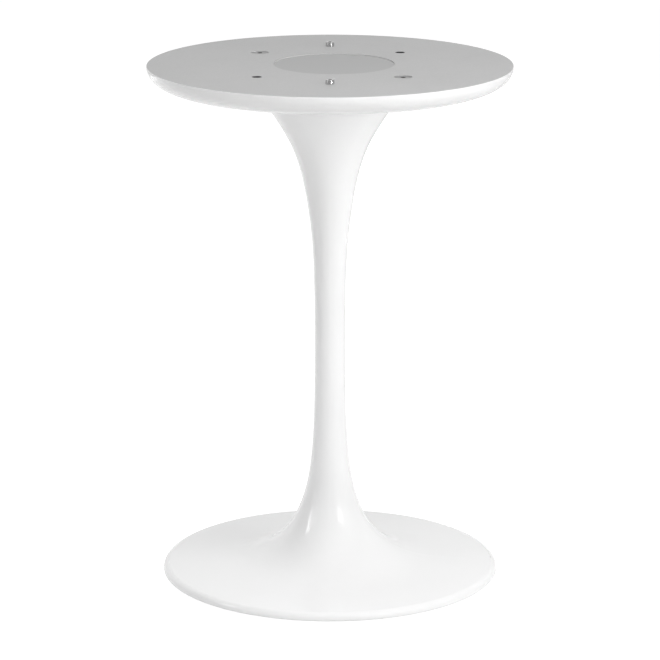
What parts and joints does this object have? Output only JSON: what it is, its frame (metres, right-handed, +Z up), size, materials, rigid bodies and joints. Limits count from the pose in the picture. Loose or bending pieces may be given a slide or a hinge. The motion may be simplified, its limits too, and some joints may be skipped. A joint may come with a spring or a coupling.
{
  "type": "tulip table base",
  "caption": "Round pedestal base for a table: a trumpet foot sweeps up into a slender stem and a flared head that carries a round-edged top plate with fixing holes and locating studs.",
  "frame": {"origin": "on the stem's axis at the floor, in the middle under the foot", "axes": "+Z up along the stem; -Y towards the front, in line with the locating studs; +X to the right"},
  "size_m": [0.5, 0.5, 0.726],
  "materials": {
    "white_lacquer": "gloss white lacquer on a casting, bare on the spigot's face",
    "plate_board": "fibre board, grey sealed top and white lacquered edge and underside",
    "screw_steel": "dull zinc plate",
    "stud_steel": "bright plate",
    "glide_plastic": "plain white plastic"
  },
  "bodies": {
    "root": {"pedestal": "white_lacquer", "top_plate": "plate_board", "plate_screws": "screw_steel", "locating_studs": "stud_steel", "glide_ring": "glide_plastic"}
  },
  "joints": []
}
